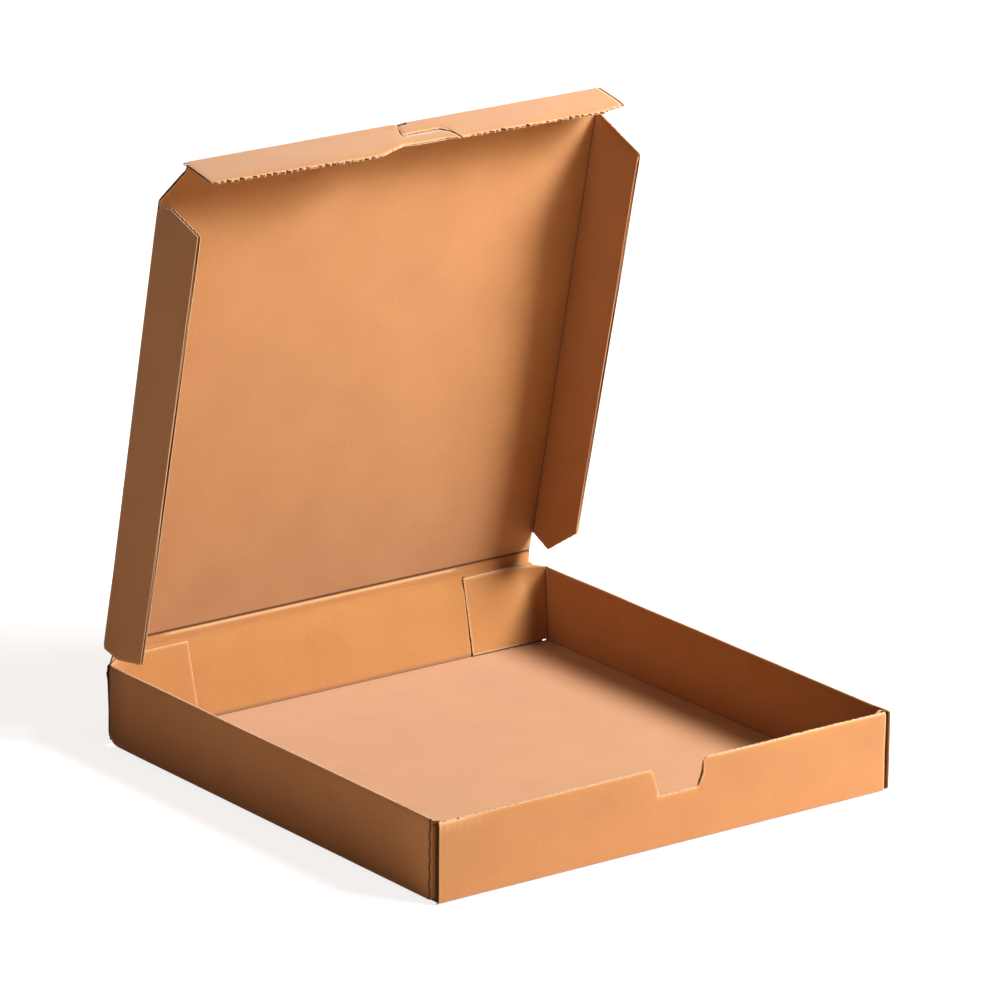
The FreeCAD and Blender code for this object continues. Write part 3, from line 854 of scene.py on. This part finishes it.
def front_flap():
    """Front flap with its thumb cut, the slit, and the tongue that hangs below it."""
    board = Board("lid_front_flap_board")
    top = LID_AXIS + LID_UP * LID_DEPTH
    out_run = 60.0
    line = path([(-LEAD, 0.0), (0.0, 0.0), (0.0, out_run)], CREASE_RADIUS)     # along the lid, then out
    over = run(line) - out_run - LEAD
    near = -1.2 - over

    def surface(u, v):
        p = on_path(line, v + LEAD + over)
        bow = 0.35 * ripple(u, v, seed=81) * slope(v, 4, 15)
        return top + X * u[..., None] + LID_UP * (p[..., 0] + bow)[..., None] + LID_IN * p[..., 1][..., None]

    def tongue(u, v):
        dip = 1.1 * ramp(u, -9.0, 7.0) * ramp(v, 0.5, 8.0) * (1 - 0.45 * ramp(u, 20, 33))
        return surface(u, v) - LID_UP * dip[..., None]

    left, right = -LID_HALF + LID_CORNER - 1.8, LID_HALF
    bend, root, split = -9.0, 2.2, 29.8          # u where one sheet of the flap goes on in the next
    slit, gap = 12.6, 0.45                       # v of the slit and its width
    slot_right = 6.6                             # u where the flap starts again right of the slot
    crease = between(AT_V, near)
    at_bend, at_root, at_split = between(AT_U, bend), between(AT_U, root), between(AT_U, split)
    start = np.linspace(0, 5, 13)
    # Painted shade in the slot on the crease and in the groove near the right end; beside the groove the
    # paper is made pale, a paler liner edge plus a painted highlight.
    slot = mark(AT_V, 1.9, OUTSIDE, width=1.2, depth=0.8, shade=1.0,
                where=lambda u, v: ramp(u, 5.6, 6.2) * ramp(u, 12.2, 11.4))
    groove_shade = mark(AT_U, right - 1.3, OUTSIDE, width=0.6, depth=0.4, shade=1.0,
                  where=lambda u, v: ramp(v, -1, 1))
    groove_edge = mark(AT_U, right - 2.5, OUTSIDE, width=0.6, pale=0.9)

    left_part = [(left, near), (left, 27.5, 1.5), (-25.0, 31.0, 4.0), (bend, 25.0), (bend, near)]
    board.sheet(rounded(left_part), surface, joins=[crease, at_bend], start=start, jag_low=0,
                jag_high=lambda u: 0.3 + 0.9 * ramp(u, -14, -28), seed=83, crush=0.64, pinch=0.4,
                recess=(0.8, 0.0))

    tongue_root = [(bend, near), (bend, 25.0), (-4.5, 23.2), (root, 22.9), (root, slit + gap),
                   (slot_right - 0.1, near)]
    board.sheet(tongue_root, tongue, joins=[crease, at_bend, at_root], start=start, middle=5, jag_low=0,
                jag_high=0, seed=89, crush=0.5, pinch=0.5, marks=[slot])

    tongue_tip = [(root, slit + gap), (root, 22.9), (25.5, 22.8, 3.0), (32.6, 25.4), (30.6, 16.5, 3.0),
                  (27.0, slit + gap, 3.0)]
    board.sheet(rounded(tongue_tip), tongue, joins=[at_root], middle=4, jag_low=0, jag_high=0.2, seed=91,
                crush=0.5)

    above_slit = [(slot_right, near), (root + 0.15, slit), (26.8, slit, 3.0), (split, 15.3), (split, near)]
    board.sheet(rounded(above_slit), surface, joins=[crease, at_split], start=start, jag_low=0,
                jag_high=0.2, seed=85, crush=0.5, pinch=0.8, marks=[slot],
                extra=(7.0, 7.6, 11.2, 11.7, 12.2))

    right_part = [(split, near), (split, 15.3), (31.1, 16.5, 2.0), (33.2, 25.8), (34.5, 26.0),
                  (128.5, 27.0, 1.0), (right, 23.5, 1.0), (right, near)]
    board.sheet(rounded(right_part), surface, joins=[crease, at_split], start=start, jag_low=0,
                jag_high=lambda u: 0.3 + 0.8 * ramp(u, 34, 44), seed=87, crush=0.64, pinch=0.2,
                recess=(0.0, 1.4), extra=[right - d for d in np.arange(0.3, 3.4, 0.3)],
                marks=[groove_shade, groove_edge])
    obj = board.build()
    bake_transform(obj)
    return obj


# Pieces in their places

floor_piece = tray_floor()
for piece in (floor_piece, tray_front(), tray_side(-1), tray_side(1)):
    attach(piece, "tray_body")
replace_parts(floor_piece, "tray")
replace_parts(back_wall(), "back_wall")
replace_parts(rear_tab(-1, 60.0), "rear_tab_left")
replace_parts(rear_tab(1, 56.0), "rear_tab_right")
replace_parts(lid_panel(), "lid_panel")
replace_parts(side_flap(-1), "lid_left_flap")
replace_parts(side_flap(1), "lid_right_flap")
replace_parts(front_flap(), "lid_front_flap")


# Floor, light and camera

WHITE = (1.0, 1.0, 1.0, 1.0)
FLOOR_GREY = (0.5, 0.5, 0.5, 1.0)      # the floor as the camera sees it, under its glow
FLOOR_BOUNCE = (0.95, 0.76, 0.56, 1.0)       # the floor as it lights the box
FLOOR_GLOW = 0.82
AMBIENT = (0.14, 0.09, 0.062, 1.0)


def stage_floor():
    """Pale floor that takes the shadow of the box."""
    mesh = bpy.data.meshes.new("studio_floor")
    half, z = 6.0, -0.0002
    mesh.from_pydata([(-half, -half, z), (half, -half, z), (half, half, z), (-half, half, z)], [],
                     [(0, 1, 2, 3)])
    obj = bpy.data.objects.new("studio_floor", mesh)
    bpy.context.scene.collection.objects.link(obj)
    material = bpy.data.materials.new("studio_floor")
    material.use_nodes = True
    nodes = Nodes(material.node_tree)
    seen = nodes.seen()
    shader = nodes.add("ShaderNodeBsdfPrincipled")
    nodes.feed(nodes.mix(seen, FLOOR_BOUNCE, FLOOR_GREY), shader.inputs["Base Color"])
    nodes.feed(0.9, shader.inputs["Roughness"])
    nodes.feed(0.0, shader.inputs["Specular IOR Level"])
    nodes.feed(WHITE, shader.inputs["Emission Color"])
    nodes.feed(nodes.calc("MULTIPLY", seen, FLOOR_GLOW), shader.inputs["Emission Strength"])
    out = nodes.add("ShaderNodeOutputMaterial")
    nodes.feed(shader.outputs[0], out.inputs["Surface"])
    mesh.materials.append(material)


def world():
    """White background, with a dim warm light of its own."""
    studio = bpy.data.worlds.new("studio")
    bpy.context.scene.world = studio
    studio.use_nodes = True
    nodes = Nodes(studio.node_tree)
    back = nodes.add("ShaderNodeBackground")
    nodes.feed(nodes.mix(nodes.seen(), AMBIENT, WHITE), back.inputs["Color"])
    nodes.feed(1.0, back.inputs["Strength"])
    out = nodes.add("ShaderNodeOutputWorld")
    nodes.feed(back.outputs[0], out.inputs["Surface"])


def lamp(name, kind, energy, direction):
    """White light that comes from the direction given."""
    data = bpy.data.lights.new(name, kind)
    data.energy = energy
    obj = bpy.data.objects.new(name, data)
    bpy.context.scene.collection.objects.link(obj)
    obj.rotation_euler = Vector(direction).to_track_quat("Z", "Y").to_euler()
    return obj


def lights():
    """A broad sun from the front right and a softbox near the box."""
    far_key = lamp("far_key", "SUN", 2.2, (0.72, -1.0, 0.95))
    far_key.data.angle = math.radians(16)
    place, target = Vector((0.58, -0.42, 0.76)), Vector((0.0, 0.0, 0.12))
    near_key = lamp("near_key", "AREA", 20.5, place - target)
    near_key.data.size = 0.42
    near_key.location = place


def camera():
    """Camera at the place and angle found from the photo."""
    azimuth, elevation, roll = -0.648, 0.310, 0.012      # radians
    target = np.array([0.000485, -0.0005, 0.153521])
    distance = 4.053275
    back = np.array([math.sin(azimuth) * math.cos(elevation), -math.cos(azimuth) * math.cos(elevation),
                     math.sin(elevation)])
    right = np.cross(-back, (0, 0, 1))
    right /= np.linalg.norm(right)
    up = np.cross(right, -back)
    c, s = math.cos(roll), math.sin(roll)
    right, up = c * right + s * up, -s * right + c * up
    data = bpy.data.cameras.new("camera")
    data.sensor_width = 36.0
    data.lens = 270.0
    data.clip_end = 50.0
    obj = bpy.data.objects.new("camera", data)
    bpy.context.scene.collection.objects.link(obj)
    placed = Matrix([list(right), list(up), list(back)]).transposed().to_4x4()
    placed.translation = Vector(target + back * distance)
    obj.matrix_world = placed
    bpy.context.scene.camera = obj


stage_floor()
world()
lights()
camera()
bpy.context.scene.view_settings.view_transform = "Standard"
